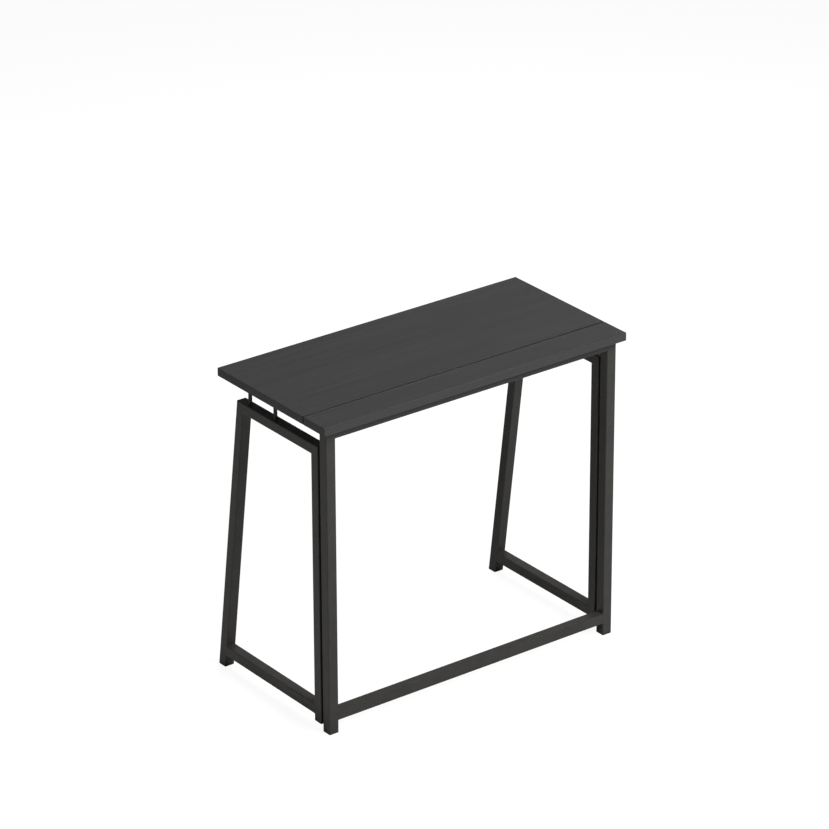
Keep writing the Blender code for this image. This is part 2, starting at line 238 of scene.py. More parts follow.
@dataclass(frozen=True)
class Finish:
    """What the finishes share: one pattern moves tone and gloss, and another raises the surface."""

    name: str
    dark: str
    light: str
    # Values that are the same all over, by the shader's socket.
    plain: tuple[tuple[str, float], ...]
    tone: Pattern
    roughness: tuple[float, float] | None = None
    relief: Pattern | None = None
    relief_depth_mm: float = 0.0
    relief_strength: float = 0.0

    @cache
    def material(self) -> bpy.types.Material:
        """Make the finish's material, once.

        Returns:
            The material.
        """
        material, tree, shader = new_material(self.name)
        pattern = self.tone.value(tree)
        ramp = add_node(tree, "ShaderNodeValToRGB", links={"Fac": pattern})
        tint(ramp, self.dark, self.light)
        set_node(tree, shader, dict(self.plain), {"Base Color": ramp.outputs["Color"]})
        if self.roughness:
            low, high = self.roughness
            gloss = add_node(tree, "ShaderNodeMapRange", {"To Min": low, "To Max": high}, {"Value": pattern})
            set_node(tree, shader, links={"Roughness": gloss.outputs["Result"]})
        if self.relief:
            bump = add_node(tree, "ShaderNodeBump",
                            {"Strength": self.relief_strength, "Distance": self.relief_depth_mm * MM},
                            {"Height": self.relief.value(tree)})
            set_node(tree, shader, links={"Normal": bump.outputs["Normal"]})
        return material


@dataclass(frozen=True)
class PowderCoat(Finish):
    """Polyester powder on steel tube, sprayed dry and baked: satin, with a fine orange peel."""

    name: str = "powder_coated_steel"
    dark: str = "#2b2a28"
    light: str = "#2f2e2c"
    plain: tuple[tuple[str, float], ...] = (("IOR", 1.50), ("Specular IOR Level", 0.4))
    # Film thickness drifts along a tube, so tone and gloss drift a little with it.
    tone: Pattern = Pattern(26.0, detail=3.0)
    roughness: tuple[float, float] = (0.30, 0.38)
    # The peel softens what the coat mirrors. It is drawn coarser than the real one, to show close up.
    relief: Pattern = Pattern(1.6, detail=1.0)
    relief_depth_mm: float = 0.04
    relief_strength: float = 0.6


@dataclass(frozen=True)
class GrainLaminate(Finish):
    """Melamine paper with a black wood print, pressed on board: satin streaks along the grain."""

    name: str = "black_grain_melamine"
    dark: str = "#292929"
    light: str = "#2f2f2f"
    plain: tuple[tuple[str, float], ...] = (("IOR", 1.50), ("Specular IOR Level", 0.4))
    # Streaks along the board give the print its tone. The real ones are finer than the render can show.
    tone: Pattern = Pattern(5.0, detail=4.0, length_mm=260.0, distortion=0.3)
    roughness: tuple[float, float] = (0.22, 0.28)
    # Short pressed pores break the gloss along the grain.
    relief: Pattern = Pattern(0.9, detail=2.0, length_mm=28.0)
    relief_depth_mm: float = 0.03
    relief_strength: float = 0.5


@dataclass(frozen=True)
class EdgeBand(GrainLaminate):
    """ABS strip extruded in the boards' print and glued round them: duller, with shallower pores."""

    name: str = "black_abs_edge_band"
    dark: str = "#303031"
    light: str = "#343435"
    plain: tuple[tuple[str, float], ...] = (("IOR", 1.50), ("Specular IOR Level", 0.3))
    roughness: tuple[float, float] = (0.32, 0.40)
    relief_depth_mm: float = 0.012


@dataclass(frozen=True)
class MouldedPlastic(Finish):
    """Polyethylene moulded in a spark-textured tool: matte, with a fine even grain."""

    name: str = "spark_textured_polyethylene"
    dark: str = "#161615"
    light: str = "#1c1c1b"
    plain: tuple[tuple[str, float], ...] = (("IOR", 1.51), ("Specular IOR Level", 0.25), ("Roughness", 0.62))
    # The sparks' grain is finer than this, and is drawn coarser to show close up.
    tone: Pattern = Pattern(0.8, detail=2.0)
    relief: Pattern = Pattern(0.8, detail=2.0)
    relief_depth_mm: float = 0.02
    relief_strength: float = 0.7


@dataclass(frozen=True)
class BlackOxideGapShade(Finish):
    """Pressed steel blackened in a hot salt bath and oiled, with dull patches; its tone is set near black,
    partly as painted shade, so that the gaps it sits in read as shadow.
    """

    name: str = "black_oxide_steel"
    # These colours are darker than blackened steel: partly its own tone, partly painted shade for the gaps.
    dark: str = "#060606"
    light: str = "#0d0c0c"
    plain: tuple[tuple[str, float], ...] = (("Specular IOR Level", 0.12),)
    tone: Pattern = Pattern(7.0, detail=4.0)
    roughness: tuple[float, float] = (0.42, 0.58)


@dataclass(frozen=True)
class SeamShadePaint(Finish):
    """Painted shade on the band's sides along the seam: near black and matt, standing in for the shadow in
    the gap, so that the seam reads as one dark line.
    """

    name: str = "matt_black_edge_paint"
    dark: str = "#060606"
    light: str = "#0d0c0c"
    plain: tuple[tuple[str, float], ...] = (("Specular IOR Level", 0.1),)
    tone: Pattern = Pattern(3.0, detail=4.0)
    roughness: tuple[float, float] = (0.42, 0.58)


@dataclass(frozen=True)
class ZincPlate(Finish):
    """Zinc on pressed steel, plated and passivated: bright grey that drifts from cool to warm."""

    name: str = "zinc_plated_steel"
    dark: str = "#aab0b5"
    light: str = "#b7b3a8"
    plain: tuple[tuple[str, float], ...] = (("Metallic", 1.0),)
    tone: Pattern = Pattern(9.0, detail=3.0)
    roughness: tuple[float, float] = (0.28, 0.42)
    # Handling leaves marks in the plating, here drawn coarser than the real ones.
    relief: Pattern = Pattern(0.6, detail=2.0)
    relief_depth_mm: float = 0.004
    relief_strength: float = 0.4


POWDER = PowderCoat()
LAMINATE = GrainLaminate()
EDGE_BAND = EdgeBand()
PLASTIC = MouldedPlastic()
OXIDE_WITH_GAP_SHADE = BlackOxideGapShade()
SEAM_SHADE_PAINT = SeamShadePaint()
ZINC = ZincPlate()


# Modelling with Blender's operators

def take(piece: bpy.types.Object) -> None:
    """Make a piece the only selected and active one.

    Args:
        piece: the piece to take.
    """
    bpy.ops.object.select_all(action="DESELECT")
    piece.select_set(True)
    bpy.context.view_layer.objects.active = piece


def add_block(low: Vector, high: Vector) -> bpy.types.Object:
    """Add a cube at its size and place, with its object at the origin.

    Args:
        low: lowest corner.
        high: highest corner.

    Returns:
        The block.
    """
    bpy.ops.object.select_all(action="DESELECT")
    bpy.ops.mesh.primitive_cube_add(size=1, location=(low + high) / 2, scale=high - low)
    bpy.ops.object.transform_apply(location=True, rotation=True, scale=True)
    return bpy.context.object


def add_rod(centre: Vector, axis: Axis, radius: float, length: float, sides: int) -> bpy.types.Object:
    """Add a cylinder at its size and place, with its object at the origin.

    Args:
        centre: middle of the rod.
        axis: direction of the rod.
        radius: the rod's radius.
        length: the rod's length.
        sides: how many faces go round it.

    Returns:
        The rod.
    """
    bpy.ops.object.select_all(action="DESELECT")
    bpy.ops.mesh.primitive_cylinder_add(vertices=sides, radius=radius, depth=length, location=centre,
                                        rotation=axis.value)
    bpy.ops.object.transform_apply(location=True, rotation=True, scale=True)
    return bpy.context.object


@contextmanager
def editing(piece: bpy.types.Object) -> Iterator[None]:
    """Open a piece in edit mode with nothing selected, and close it again.

    Args:
        piece: the piece to edit.

    Returns:
        A context for the edit-mode operators.
    """
    take(piece)
    bpy.ops.object.mode_set(mode="EDIT")
    bpy.ops.mesh.select_all(action="DESELECT")
    yield
    bpy.ops.object.mode_set(mode="OBJECT")


def pick_faces(piece: bpy.types.Object, wanted: Callable[[Vector, Vector], bool]) -> None:
    """Select the faces of a piece in edit mode by their centre and normal.

    Args:
        piece: the piece that is open in edit mode.
        wanted: says of a face's centre and normal whether it is selected.
    """
    bpy.ops.mesh.select_mode(type="FACE")
    bpy.ops.mesh.select_all(action="DESELECT")
    mesh = bmesh.from_edit_mesh(piece.data)
    for face in mesh.faces:
        face.select_set(wanted(face.calc_center_median(), face.normal))
    bmesh.update_edit_mesh(piece.data)


def pick_edges(piece: bpy.types.Object, wanted: Callable[[Vector, Vector], bool]) -> None:
    """Select the edges of a piece in edit mode by their two ends.

    Args:
        piece: the piece that is open in edit mode.
        wanted: says of an edge's two end points whether it is selected.
    """
    bpy.ops.mesh.select_mode(type="EDGE")
    bpy.ops.mesh.select_all(action="DESELECT")
    mesh = bmesh.from_edit_mesh(piece.data)
    for edge in mesh.edges:
        edge.select_set(wanted(*(point.co for point in edge.verts)))
    bmesh.update_edit_mesh(piece.data)


def pick_points(piece: bpy.types.Object, wanted: Callable[[Vector], bool]) -> None:
    """Select the points of a piece in edit mode by their place.

    Args:
        piece: the piece that is open in edit mode.
        wanted: says of a point whether it is selected.
    """
    bpy.ops.mesh.select_mode(type="VERT")
    bpy.ops.mesh.select_all(action="DESELECT")
    mesh = bmesh.from_edit_mesh(piece.data)
    for point in mesh.verts:
        point.select_set(wanted(point.co))
    bmesh.update_edit_mesh(piece.data)


def near(first: float, second: float) -> bool:
    """Return whether two lengths are the same to within a hair."""
    return abs(first - second) < TOUCH


def round_edges(piece: bpy.types.Object, wanted: Callable[[Vector, Vector], bool], radius: float,
                segments: int = 3) -> None:
    """Round the picked edges of a piece.

    Args:
        piece: the piece to round.
        wanted: says of an edge's two end points whether it is rounded.
        radius: the rounding's radius.
        segments: how many faces make the rounding.
    """
    with editing(piece):
        pick_edges(piece, wanted)
        bpy.ops.mesh.bevel(offset=radius, offset_type="OFFSET", segments=segments, affect="EDGES")


def apply_modifier(piece: bpy.types.Object, kind: str, **settings: Any) -> None:
    """Add a modifier to a piece and apply it.

    Args:
        piece: the piece that it changes.
        kind: the modifier's type.
        settings: its values by name.
    """
    take(piece)
    modifier = piece.modifiers.new(kind.lower(), kind)
    for name, value in settings.items():
        setattr(modifier, name, value)
    bpy.ops.object.modifier_apply(modifier=modifier.name)


def copied(piece: bpy.types.Object, move: Vector) -> bpy.types.Object:
    """Copy a finished piece, with a mesh of its own, to another place.

    Args:
        piece: the piece to copy.
        move: how far the copy lies from it.

    Returns:
        The copy.
    """
    twin = piece.copy()
    twin.data = piece.data.copy()
    twin.data.transform(Matrix.Translation(move))
    bpy.context.collection.objects.link(twin)
    return twin


def hand_over(piece: bpy.types.Object, name: str, body: Body, material: bpy.types.Material,
              stands_for: str = "") -> None:
    """Name a modelled piece, shade and dress it, and let it ride on its body.

    Args:
        piece: the modelled piece.
        name: the piece's name.
        body: the body that carries it.
        material: its material.
        stands_for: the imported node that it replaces, if any.
    """
    take(piece)
    bpy.ops.object.shade_smooth_by_angle(angle=SMOOTH_ANGLE)
    # Wide faces keep their own normals, so that they mirror as flat ones beside the small roundings.
    apply_modifier(piece, "WEIGHTED_NORMAL", keep_sharp=True)
    piece.name = name
    piece.data.name = name
    piece.data.materials.clear()
    piece.data.materials.append(material)
    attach(piece, body.value)
    if stands_for:
        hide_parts(stands_for)
    LOG.info("%s rides on %s, %d faces", name, body.value, len(piece.data.polygons))


def dress(nodes: list[str], material: bpy.types.Material) -> None:
    """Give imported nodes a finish.

    Args:
        nodes: the nodes' names.
        material: their material.
    """
    for name in nodes:
        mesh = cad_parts[name].data
        mesh.materials.clear()
        mesh.materials.append(material)
        LOG.info("%s is finished in %s", name, material.name)


# Boards

@dataclass
class Board:
    """One board of the top: a laminated core with a band round its edges."""

    node: str
    body: Body
    seam_side: Vector
    band: float = 1.6 * MM
    glue_line: float = 0.05 * MM
    band_rounding: float = 1.5 * MM
    seam_rounding: float = 0.5 * MM
    face_rounding: float = 0.12 * MM
    face_steps: int = 2

    def build(self) -> None:
        """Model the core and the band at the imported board's place."""
        low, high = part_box(self.node)
        inset = Vector((self.band + self.glue_line, self.band + self.glue_line, 0))
        core = add_block(low + inset, high - inset)
        round_edges(core, lambda start, end: True, self.face_rounding, self.face_steps)
        hand_over(core, f"{self.node}_board", self.body, LAMINATE.material(), self.node)
        ring = self.band_ring(low, high)
        hand_over(ring, f"{self.node}_edge_band", self.body, EDGE_BAND.material())
        self.blacken_seam(ring)

    def band_ring(self, low: Vector, high: Vector) -> bpy.types.Object:
        """Model the band: a block without its top and bottom, given a wall and soft outer edges.

        Args:
            low: lowest corner of the board.
            high: highest corner of the board.

        Returns:
            The band.
        """
        ring = add_block(low, high)
        with editing(ring):
            pick_faces(ring, lambda centre, normal: abs(normal.z) > FACING)
            bpy.ops.mesh.delete(type="ONLY_FACE")
        apply_modifier(ring, "SOLIDIFY", thickness=self.band, offset=-1, use_even_offset=True)
        seam_y = high.y if self.seam_side.y > 0 else low.y

        def on_outside(point: Vector) -> bool:
            """Return whether a point lies on the band's outer sides."""
            return any(near(point[axis], corner[axis]) for axis in (0, 1) for corner in (low, high))

        def on_seam(start: Vector, end: Vector) -> bool:
            """Return whether an edge lies on the side along the seam."""
            return near(start.y, seam_y) and near(end.y, seam_y)

        round_edges(
            ring, lambda start, end: on_outside(start) and on_outside(end) and not on_seam(start, end),
            self.band_rounding, CORNER_STEPS)
        round_edges(ring, on_seam, self.seam_rounding)
        return ring

    def blacken_seam(self, ring: bpy.types.Object) -> None:
        """Give the band's side along the seam its near-black painted shade, standing in for the shadow in the
        gap.

        Args:
            ring: the finished band.
        """
        # Painted shade: the seam's sides are made near black so that the gap between the boards reads as
        # shadow.
        ring.data.materials.append(SEAM_SHADE_PAINT.material())
        ring.active_material_index = 1
        with editing(ring):
            pick_faces(ring, lambda centre, normal: normal.dot(self.seam_side) > TURNED)
            bpy.ops.object.material_slot_assign()


@dataclass
class DeskTop:
    """The two boards of the top, each with its seam side towards the other."""

    boards: list[Board] = field(default_factory=lambda: [
        Board("rear_plank", Body.REAR_FRAME, -REARWARD),
        Board("front_plank", Body.FRONT_TOP, REARWARD)])

    def build(self) -> None:
        """Model the boards."""
        for board in self.boards:
            board.build()


# Welds

@dataclass
class Welder:
    """Makes the welds of a frame: a beaded fillet in inside corners, and seams ground flush."""

    bead_radius: float = 1.5 * MM
    bead_sides: int = 24
    bead_end_gap: float = 1.6 * MM
    ripple_pitch: float = 1.8 * MM
    ripple_share: float = 0.88
    end_share: float = 0.6
    sink: float = 0.25 * MM
    seam_overlap: float = 1.0 * MM
    seam_proud: float = 0.04 * MM

    def bead(self, name: str, corner: Vector, axis: Axis, width: float, walls: tuple[Vector, Vector],
             body: Body) -> None:
        """Model a rippled bead along an inside corner.

        Args:
            name: the bead's name.
            corner: middle of the corner's line.
            axis: direction of the corner's line.
            width: width of the tubes that meet there.
            walls: the directions that the two walls face.
            body: the body that carries it.
        """
        length = width - 2 * self.bead_end_gap
        # Every second ring is drawn in, and the ends taper, as a bead of overlapping drops does.
        rings = 2 * round(length / (2 * self.ripple_pitch)) + 1
        rod = add_rod(corner, axis, self.bead_radius, length, self.bead_sides)
        across = [1.0 if place == axis.index else self.ripple_share for place in range(3)]
        taper = [1.0 if place == axis.index else self.end_share for place in range(3)]
        step = length / (rings + 1)

        def ring_of(point: Vector) -> int:
            """Return which ring along the bead a point is on."""
            return round((point[axis.index] - corner[axis.index] + length / 2) / step)

        with editing(rod):
            pick_edges(rod, lambda start, end: not near(start[axis.index], end[axis.index]))
            bpy.ops.mesh.subdivide(number_cuts=rings)
            pick_points(rod, lambda point: ring_of(point) % 2 == 1)
            bpy.ops.transform.resize(value=across, center_override=corner)
            pick_points(rod, lambda point: ring_of(point) in (0, rings + 1))
            bpy.ops.transform.resize(value=taper, center_override=corner)
            for wall in walls:
                bpy.ops.mesh.select_all(action="SELECT")
                bpy.ops.mesh.bisect(plane_co=corner - wall * self.sink, plane_no=wall, use_fill=True,
                                    clear_inner=True)
        hand_over(rod, name, body, POWDER.material())

    def flush_seam(self, name: str, low: Vector, high: Vector, axis: Axis, body: Body) -> None:
        """Model the ground seam round the end of a rail: a filler with the rail's round corners.

        Args:
            name: the seam's name.
            low: lowest corner of the stretch that it fills.
            high: highest corner of that stretch.
            axis: the rail's direction.
            body: the body that carries it.
        """
        proud = Vector([0 if place == axis.index else self.seam_proud for place in range(3)])
        block = add_block(low - proud, high + proud)
        round_edges(block, lambda start, end: not near(start[axis.index], end[axis.index]), TUBE_CORNER,
                    CORNER_STEPS)
        hand_over(block, name, body, POWDER.material())

    def mitre_seam(self, name: str, outer: Vector, inner: Vector, width: float, body: Body) -> None:
        """Model the ground seam of a mitred corner: a thin filler in the mitre's plane.

        Args:
            name: the seam's name.
            outer: the mitre's outer corner, at the middle of the tube.
            inner: its inner corner.
            width: width of the tube.
            body: the body that carries it.
        """
        middle = (outer + inner) / 2
        along = outer - inner
        half = Vector((width / 2 + self.seam_proud, self.seam_overlap / 2,
                       along.length / 2 + self.seam_proud))
        block = add_block(middle - half, middle + half)
        # With no window this operator turns the other way round, and the angle's sign allows for that.
        with editing(block):
            bpy.ops.mesh.select_all(action="SELECT")
            bpy.ops.transform.rotate(value=math.atan2(along.y, along.z), orient_axis="X",
                                     center_override=middle)
        normal = Vector((0, along.z, -along.y)).normalized()
        round_edges(block, lambda start, end: abs((end - start).normalized().dot(normal)) > FACING,
                    TUBE_CORNER, CORNER_STEPS)
        hand_over(block, name, body, POWDER.material())


WELDER = Welder()


# Frames

@dataclass
class EndCap:
    """A moulded cap in the lower end of a tube, with a soft rim and a plug that goes up inside."""

    node: str
    tube: str
    body: Body
    slope: float = 0.0
    wall: float = 1.5 * MM
    rim_rounding: float = 0.8 * MM
    plug_taper: float = 0.94

    def build(self) -> None:
        """Model the cap: a flange that leans with its tube, and the plug drawn out of it."""
        low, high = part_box(self.node)
        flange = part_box(self.tube)[0].z - low.z - SEAT_GAP
        plug = high.z - low.z - flange
        depth = (high.x - low.x) * math.hypot(1, self.slope)
        cap = add_block(low, Vector((high.x, low.y + depth, low.z + flange)))
        with editing(cap):
            pick_faces(cap, lambda centre, normal: normal.z > FACING)
            bpy.ops.transform.translate(value=(0, self.slope * flange, 0))
        round_edges(cap, lambda start, end: not near(start.z, end.z), TUBE_CORNER, CORNER_STEPS)
        round_edges(cap, lambda start, end: near(start.z, low.z) and near(end.z, low.z), self.rim_rounding)
        with editing(cap):
            pick_faces(cap, lambda centre, normal: normal.z > FACING)
            bpy.ops.mesh.inset(thickness=self.wall, use_even_offset=True)
            bpy.ops.mesh.extrude_region_move(TRANSFORM_OT_translate={"value": (0, self.slope * plug, plug)})
            bpy.ops.transform.resize(value=(self.plug_taper, self.plug_taper, 1))
        hand_over(cap, f"{self.node}_moulded", self.body, PLASTIC.material(), self.node)


@dataclass
class RearFrame:
    """The rear frame: two legs with caps, a rail under the top and a rail near the floor."""

    rails: dict[str, tuple[Vector, ...]] = field(default_factory=lambda: {
        "rear_top_rail": (-UP,),
        "rear_bottom_rail": (UP, -UP)})

    def build(self) -> None:
        """Dress the tubes and model their caps and welds."""
        dress([f"rear_leg_{side.value}" for side in Side] + list(self.rails), POWDER.material())
        for side in Side:
            leg = f"rear_leg_{side.value}"
            EndCap(f"rear_leg_cap_{side.value}", leg, Body.REAR_FRAME).build()
            for rail, open_faces in self.rails.items():
                self.weld(rail, leg, side, open_faces)

    def weld(self, rail: str, leg: str, side: Side, open_faces: tuple[Vector, ...]) -> None:
        """Model the welds where a rail meets a leg.

        Args:
            rail: the rail's node.
            leg: the leg's node.
            side: the leg's end of the desk.
            open_faces: the rail's faces that get a bead, by the direction they face.
        """
        rail_low, rail_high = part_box(rail)
        leg_low, leg_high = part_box(leg)
        joint = leg_low.x if side is Side.RIGHT else leg_high.x
        ends = sorted((joint - side.sign * WELDER.seam_overlap,
                       joint + side.sign * (TUBE_CORNER + WELDER.seam_overlap)))
        WELDER.flush_seam(f"{rail}_seam_{side.value}", Vector((ends[0], rail_low.y, rail_low.z)),
                          Vector((ends[1], rail_high.y, rail_high.z)), Axis.X, Body.REAR_FRAME)
        for face in open_faces:
            place = "upper" if face.z > 0 else "lower"
            height = rail_high.z if face.z > 0 else rail_low.z
            corner = Vector((joint, (rail_low.y + rail_high.y) / 2, height))
            WELDER.bead(f"{rail}_bead_{side.value}_{place}", corner, Axis.Y, rail_high.y - rail_low.y,
                        (face, RIGHTWARD * -side.sign), Body.REAR_FRAME)


@dataclass
class SideFrame:
    """One side frame: hinge tube, top rail, slanted leg and bottom rail, with caps, posts and welds."""

    side: Side
    tubes: tuple[str, ...] = ("hinge_tube", "side_top_rail", "slanted_leg", "side_bottom_rail")
    post_sides: int = 48
    post_collar: float = 1.2 * MM
    post_collar_share: float = 1.3
    post_rounding: float = 0.5 * MM
    spigot_share: float = 0.58

    def node(self, piece: str) -> str:
        """Return the name of one of this frame's nodes."""
        return f"{piece}_{self.side.value}"

    @property
    def slope(self) -> float:
        """Work out the slanted leg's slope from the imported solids.

        Returns:
            How far the leg leans back for each unit of height.
        """
        top_low, top_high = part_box(self.node("side_top_rail"))
        foot_low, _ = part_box(self.node("slanted_leg_cap"))
        return (top_low.y - foot_low.y) / (top_high.z - foot_low.z)

    @property
    def lean(self) -> Vector:
        """Return the direction that the slanted leg's rear face looks."""
        return Vector((0, 1, -self.slope)).normalized()

    def leg_rear(self, height: float) -> float:
        """Return how far back the slanted leg's rear face is.

        Args:
            height: height above the floor.

        Returns:
            The face's place along Y at that height.
        """
        foot_low, foot_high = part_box(self.node("slanted_leg_cap"))
        return foot_low.y + (foot_high.x - foot_low.x) * math.hypot(1, self.slope) + self.slope * height

    def build(self) -> None:
        """Dress the tubes and model the caps, posts and welds."""
        dress([self.node(tube) for tube in self.tubes], POWDER.material())
        body = self.side.body
        EndCap(self.node("slanted_leg_cap"), self.node("slanted_leg"), body, self.slope).build()
        EndCap(self.node("hinge_tube_cap"), self.node("hinge_tube"), body).build()
        for place in ("front", "rear"):
            self.build_post(f"support_post_{self.side.value}_{place}")
        self.weld_bottom_rail()
        self.weld_corners()

    def build_post(self, node: str) -> None:
        """Model a support post: a rod with a weld collar at its foot and a spigot in the rail.

        Args:
            node: the post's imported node.
        """
        low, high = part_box(node)
        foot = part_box(self.node("side_top_rail"))[1].z
        radius = (high.x - low.x) / 2
        centre = (low + high) / 2
        base = foot + self.post_collar
        rod = add_rod(Vector((centre.x, centre.y, (base + high.z) / 2)), Axis.Z, radius, high.z - base,
                      self.post_sides)
        round_edges(rod, lambda start, end: near(start.z, high.z) and near(end.z, high.z), self.post_rounding)
        with editing(rod):
            pick_faces(rod, lambda middle, normal: normal.z < -FACING)
            bpy.ops.mesh.extrude_region_move(TRANSFORM_OT_translate={"value": (0, 0, -self.post_collar)})
            bpy.ops.transform.resize(value=(self.post_collar_share, self.post_collar_share, 1))
            bpy.ops.mesh.inset(thickness=radius * (self.post_collar_share - self.spigot_share))
            bpy.ops.mesh.extrude_region_move(TRANSFORM_OT_translate={"value": (0, 0, low.z - foot)})
        hand_over(rod, f"{node}_rod", self.side.body, POWDER.material(), node)

    def weld_bottom_rail(self) -> None:
        """Model the welds where the bottom rail meets the hinge tube and the slanted leg."""
        low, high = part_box(self.node("side_bottom_rail"))
        tube_low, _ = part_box(self.node("hinge_tube"))
        width = high.x - low.x
        middle = (low.x + high.x) / 2
        overlap = WELDER.seam_overlap
        WELDER.flush_seam(self.node("side_bottom_rail_rear_seam"),
                          Vector((low.x, tube_low.y - overlap, low.z)),
                          Vector((high.x, tube_low.y + TUBE_CORNER + overlap, high.z)), Axis.Y,
                          self.side.body)
        WELDER.flush_seam(self.node("side_bottom_rail_front_seam"),
                          Vector((low.x, self.leg_rear(low.z) - TUBE_CORNER, low.z)),
                          Vector((high.x, self.leg_rear(high.z) + overlap, high.z)), Axis.Y, self.side.body)
        for face, height, place in ((UP, high.z, "upper"), (-UP, low.z, "lower")):
            WELDER.bead(self.node(f"side_bottom_rail_rear_bead_{place}"),
                        Vector((middle, tube_low.y, height)), Axis.X, width, (face, -REARWARD),
                        self.side.body)
            WELDER.bead(self.node(f"side_bottom_rail_front_bead_{place}"),
                        Vector((middle, self.leg_rear(height), height)), Axis.X, width, (face, self.lean),
                        self.side.body)

    def weld_corners(self) -> None:
        """Model the welds of the two mitred corners at the ends of the top rail."""
        low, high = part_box(self.node("side_top_rail"))
        tube_low, tube_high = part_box(self.node("hinge_tube"))
        width = high.x - low.x
        middle = (low.x + high.x) / 2
        corners = {"rear": (tube_high.y, tube_low.y, -REARWARD),
                   "front": (low.y, self.leg_rear(low.z), self.lean)}
        for place, (outer_y, inner_y, wall) in corners.items():
            inner = Vector((middle, inner_y, low.z))
            WELDER.mitre_seam(self.node(f"side_top_rail_{place}_seam"), Vector((middle, outer_y, high.z)),
                              inner, width, self.side.body)
            WELDER.bead(self.node(f"side_top_rail_{place}_bead"), inner, Axis.X, width, (-UP, wall),
                        self.side.body)


# Hinges and screws

@dataclass
class CrossScrew:
    """A screw with its head down: a domed head with a cross recess, and a plain shank."""

    head_radius: float
    head_height: float
    shank_radius: float
    shank_length: float
    sides: int = 32
    slot_width_share: float = 0.22
    slot_length_share: float = 1.1
    slot_depth_share: float = 0.6
    dome_share: float = 0.45

    def model(self, seat: Vector) -> bpy.types.Object:
        """Model the screw with its head under a seat.

        Args:
            seat: middle of the face that the head bears on.

        Returns:
            The screw.
        """
        bottom = seat.z - self.head_height
        screw = add_rod(seat - UP * self.head_height / 2, Axis.Z, self.head_radius, self.head_height,
                        self.sides)
        round_edges(screw, lambda start, end: near(start.z, bottom) and near(end.z, bottom),
                    self.head_height * self.dome_share, CORNER_STEPS)
        with editing(screw):
            pick_faces(screw, lambda centre, normal: normal.z > FACING)
            bpy.ops.mesh.inset(thickness=self.head_radius - self.shank_radius)
            bpy.ops.mesh.extrude_region_move(TRANSFORM_OT_translate={"value": (0, 0, self.shank_length)})
        long_side = self.head_radius * self.slot_length_share
        short_side = self.head_radius * self.slot_width_share
        depth = self.head_height * self.slot_depth_share
        tip = Vector((seat.x, seat.y, bottom))
        for size_x, size_y in ((long_side, short_side), (short_side, long_side)):
            half = Vector((size_x / 2, size_y / 2, depth))
            slot = add_block(tip - half, tip + half)
            apply_modifier(screw, "BOOLEAN", operation="DIFFERENCE", solver="EXACT", object=slot)
            bpy.data.objects.remove(slot)
        return screw


@dataclass
class PlankScrews:
    """The screws that hold the rear board down on the rear top rail."""

    count: int = 4
    shank_share: float = 0.5

    def build(self) -> None:
        """Model the first screw and copy it to the others' places."""
        rail_low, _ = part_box("rear_top_rail")
        nodes = [f"plank_screw_{number + 1}" for number in range(self.count)]
        low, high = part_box(nodes[0])
        seat = Vector(((low.x + high.x) / 2, (low.y + high.y) / 2, rail_low.z - SEAT_GAP))
        radius = (high.x - low.x) / 2
        model = CrossScrew(radius, seat.z - low.z, radius * self.shank_share, high.z - seat.z).model(seat)
        twins = [copied(model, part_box(node)[0] - low) for node in nodes[1:]]
        for node, screw in zip(nodes, [model, *twins]):
            hand_over(screw, f"{node}_cross_head", Body.REAR_FRAME, ZINC.material(), node)


@dataclass
class SeamHinges:
    """The hinges under the seam between the boards, and the screws in their leaves."""

    places: tuple[str, ...] = ("left", "middle", "right")
    leaf_thickness: float = 1.5 * MM
    screw_inset: float = 9.0 * MM
    head_radius: float = 3.2 * MM
    head_height: float = 1.1 * MM
    shank_radius: float = 1.5 * MM
    shank_length: float = 10.0 * MM

    def build(self) -> None:
        """Dress the leaves and pins, and model one screw and copy it."""
        leaves = {f"seam_hinge_{place}_rear_leaf": Body.REAR_FRAME for place in self.places}
        leaves |= {f"seam_hinge_{place}_front_leaf": Body.FRONT_TOP for place in self.places}
        dress([*leaves, *(f"seam_hinge_{place}_pin" for place in self.places)], ZINC.material())
        seats = [(node, body, seat) for node, body in leaves.items() for seat in self.seats(node)]
        first = seats[0][2]
        screw = CrossScrew(self.head_radius, self.head_height, self.shank_radius, self.shank_length)
        model = screw.model(first)
        twins = [copied(model, seat - first) for _, _, seat in seats[1:]]
        for number, ((node, body, _), piece) in enumerate(zip(seats, [model, *twins])):
            hand_over(piece, f"{node}_screw_{number % 2 + 1}", body, ZINC.material())

    def seats(self, node: str) -> list[Vector]:
        """Return where the two screws of a leaf bear on it.

        Args:
            node: the leaf's node.

        Returns:
            The two seats, on the leaf's lower face.
        """
        low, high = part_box(node)
        y = high.y - self.screw_inset if "rear" in node else low.y + self.screw_inset
        return [Vector((x, y, high.z - self.leaf_thickness))
                for x in (low.x + self.screw_inset, high.x - self.screw_inset)]


@dataclass
class FrameHinges:
    """The hinges in the gaps between the rear legs and the side frames."""

    levels: tuple[str, ...] = ("lower", "upper")
    pieces: tuple[str, ...] = ("leg_leaf", "tube_leaf", "pin")

    def build(self) -> None:
        """Dress the blackened leaves and pins, whose near-black tone is partly painted shade for the gaps."""
        hinges = [f"frame_hinge_{side.value}_{level}" for side in Side for level in self.levels]
        dress([f"{hinge}_{piece}" for hinge in hinges for piece in self.pieces], OXIDE_WITH_GAP_SHADE.material())


# Studio

@dataclass
class SoftBox:
    """A square studio light with a diffuser: its side in metres, its power in watts."""

    name: str
    place: Vector
    side: float
    power: float
    aim: Vector = field(default_factory=lambda: Vector((0.0, 0.0, 0.4)))

    def build(self) -> None:
        """Hang the light and point it at its aim."""
        light = bpy.data.lights.new(self.name, "AREA")
        light.shape = "SQUARE"
        light.size = self.side
        light.energy = self.power
        lamp = bpy.data.objects.new(self.name, light)
        lamp.location = self.place
        lamp.rotation_euler = (self.aim - self.place).to_track_quat("-Z", "Y").to_euler()
        # A polarising sheet keeps its mirror image off the satin top.
        lamp.visible_glossy = False
        bpy.context.scene.collection.objects.link(lamp)


